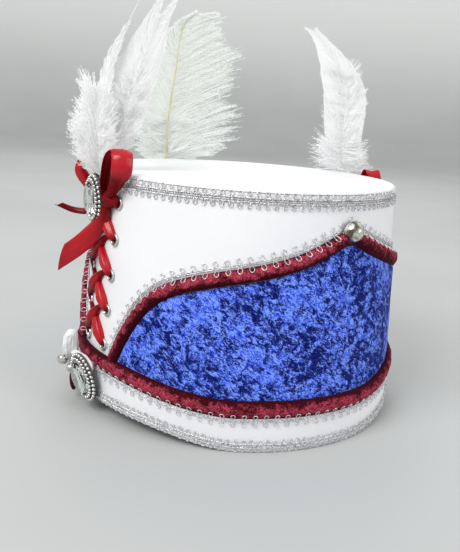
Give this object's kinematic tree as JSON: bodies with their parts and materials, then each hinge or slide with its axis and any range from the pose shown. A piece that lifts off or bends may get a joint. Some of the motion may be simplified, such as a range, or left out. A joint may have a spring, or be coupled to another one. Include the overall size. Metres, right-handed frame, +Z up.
{
  "type": "shako hat",
  "caption": "Parade shako: open cylindrical crown with velvet side panels, banded rim, braid and piping, laced front and back with bows, oval brooches and upright feathers.",
  "frame": {"origin": "centre of the open rim, on the surface that the hat stands on", "axes": "+Z up from the rim to the flat crown top; the front, with the lacing and the brooches, faces -Y; the wearer's left is +X"},
  "size_m": [0.2252, 0.2345, 0.259],
  "materials": {
    "leatherette": "smooth white leatherette with a low sheen",
    "blue_velvet": "crushed royal blue velvet",
    "maroon_velvet": "maroon velvet piping",
    "silver_gimp": "silver looped gimp braid",
    "red_satin": "red satin ribbon",
    "nickel": "polished nickel",
    "crystal": "clear cut stone, slightly green",
    "feather": "white feather, soft and matt"
  },
  "bodies": {
    "root": {"back_bow_knot": "red_satin", "back_bow_loop_left": "red_satin", "back_bow_loop_right": "red_satin", "back_bow_tail_left": "red_satin", "back_bow_tail_right": "red_satin", "band": "leatherette", "band_braid": "silver_gimp", "band_brooch_setting": "nickel", "band_brooch_stone": "crystal", "band_piping": "maroon_velvet", "bow_knot": "red_satin", "bow_loop_left": "red_satin", "bow_loop_right": "red_satin", "bow_tail_long": "red_satin", "bow_tail_short": "red_satin", "brooch_rosette": "leatherette", "crown_brooch_setting": "nickel", "crown_brooch_stone": "crystal", "crown_top": "leatherette", "crown_wall": "leatherette", "eyelet_back_left_1": "nickel", "eyelet_back_left_2": "nickel", "eyelet_back_left_3": "nickel", "eyelet_back_left_4": "nickel", "eyelet_back_left_5": "nickel", "eyelet_back_right_1": "nickel", "eyelet_back_right_2": "nickel", "eyelet_back_right_3": "nickel", "eyelet_back_right_4": "nickel", "eyelet_back_right_5": "nickel", "eyelet_front_left_1": "nickel", "eyelet_front_left_2": "nickel", "eyelet_front_left_3": "nickel", "eyelet_front_left_4": "nickel", "eyelet_front_left_5": "nickel", "eyelet_front_right_1": "nickel", "eyelet_front_right_2": "nickel", "eyelet_front_right_3": "nickel", "eyelet_front_right_4": "nickel", "eyelet_front_right_5": "nickel", "feather_back": "feather", "feather_goose": "feather", "feather_marabou": "feather", "feather_ostrich": "feather", "feather_slim": "feather", "hem_braid": "silver_gimp", "lacing_back": "red_satin", "lacing_front": "red_satin", "panel_braid_left": "silver_gimp", "panel_braid_right": "silver_gimp", "panel_piping_left": "maroon_velvet", "panel_piping_right": "maroon_velvet", "side_stud_left": "nickel", "side_stud_right": "nickel", "top_braid": "silver_gimp", "velvet_loop": "maroon_velvet", "velvet_panel_left": "blue_velvet", "velvet_panel_right": "blue_velvet"}
  },
  "joints": []
}
